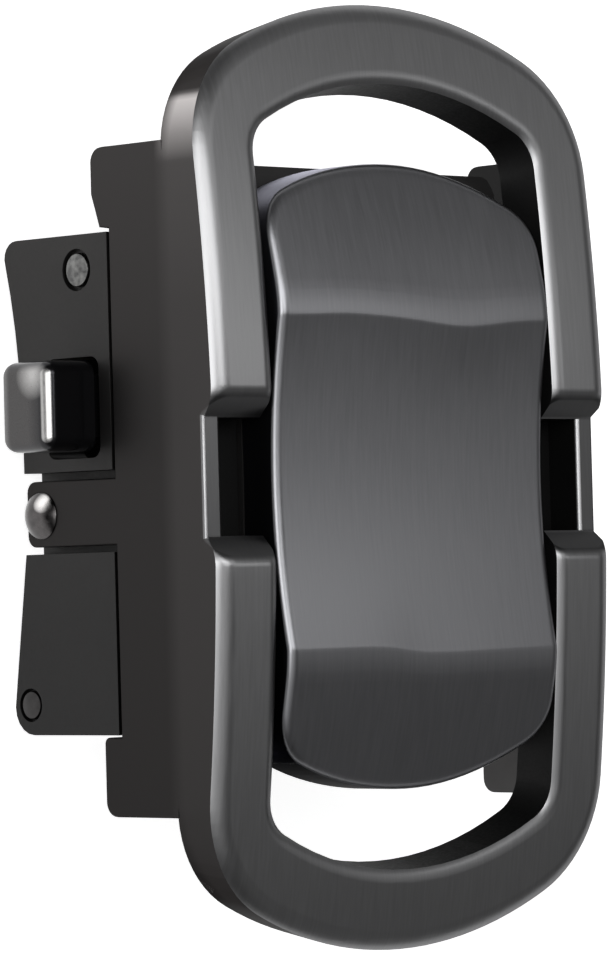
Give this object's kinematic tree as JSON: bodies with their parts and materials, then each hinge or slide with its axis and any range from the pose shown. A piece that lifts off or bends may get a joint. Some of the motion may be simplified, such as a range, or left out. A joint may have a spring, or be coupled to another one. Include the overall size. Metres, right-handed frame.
{
  "type": "ratchet belt buckle",
  "caption": "Ratchet belt buckle with a bowed face ring and a separate scooped plaque, a riveted clip frame, a sprung pawl with a side release knob, and a clamp jaw for the strap end.",
  "frame": {"origin": "middle of the bounding box's footprint, on the surface that the buckle lies on", "axes": "+Z out of the buckle's face, +Y along its length towards the pawl end, -X towards the release knob"},
  "size_m": [0.0448, 0.068, 0.0225],
  "materials": {
    "ring_metal": "brushed gunmetal plating",
    "plaque_metal": "brushed gunmetal plating",
    "clip_metal": "matte dark plating",
    "pawl_steel": "plain steel, satin",
    "knob_black": "gloss black with a worn grey outer face",
    "pin_steel": "rough cut steel",
    "dark_pin": "matte dark plating",
    "rivet_steel": "semi-polished steel"
  },
  "bodies": {
    "buckle": {"frame_casting": "ring_metal", "plaque": "plaque_metal", "clip_frame": "clip_metal", "pawl_pin": "pin_steel", "clamp_pin": "dark_pin", "rivet_left": "rivet_steel", "rivet_right": "rivet_steel"},
    "pawl": {"pawl_plate": "pawl_steel", "release_knob": "knob_black"},
    "jaw": {"clamp_jaw": "pawl_steel"}
  },
  "joints": [
    {"name": "pawl_release", "type": "hinge", "parent": "buckle", "child": "pawl", "pos_m": [0.0019, 0.0151, 0.00785], "axis": [1, 0, 0], "range_deg": [0, 12], "stiffness_Nm_per_rad": 0.1, "springref_deg": -17.19},
    {"name": "jaw_open", "type": "hinge", "parent": "buckle", "child": "jaw", "pos_m": [0.0019, -0.0157, 0.0017], "axis": [1, 0, 0], "range_deg": [-85, 0]}
  ]
}
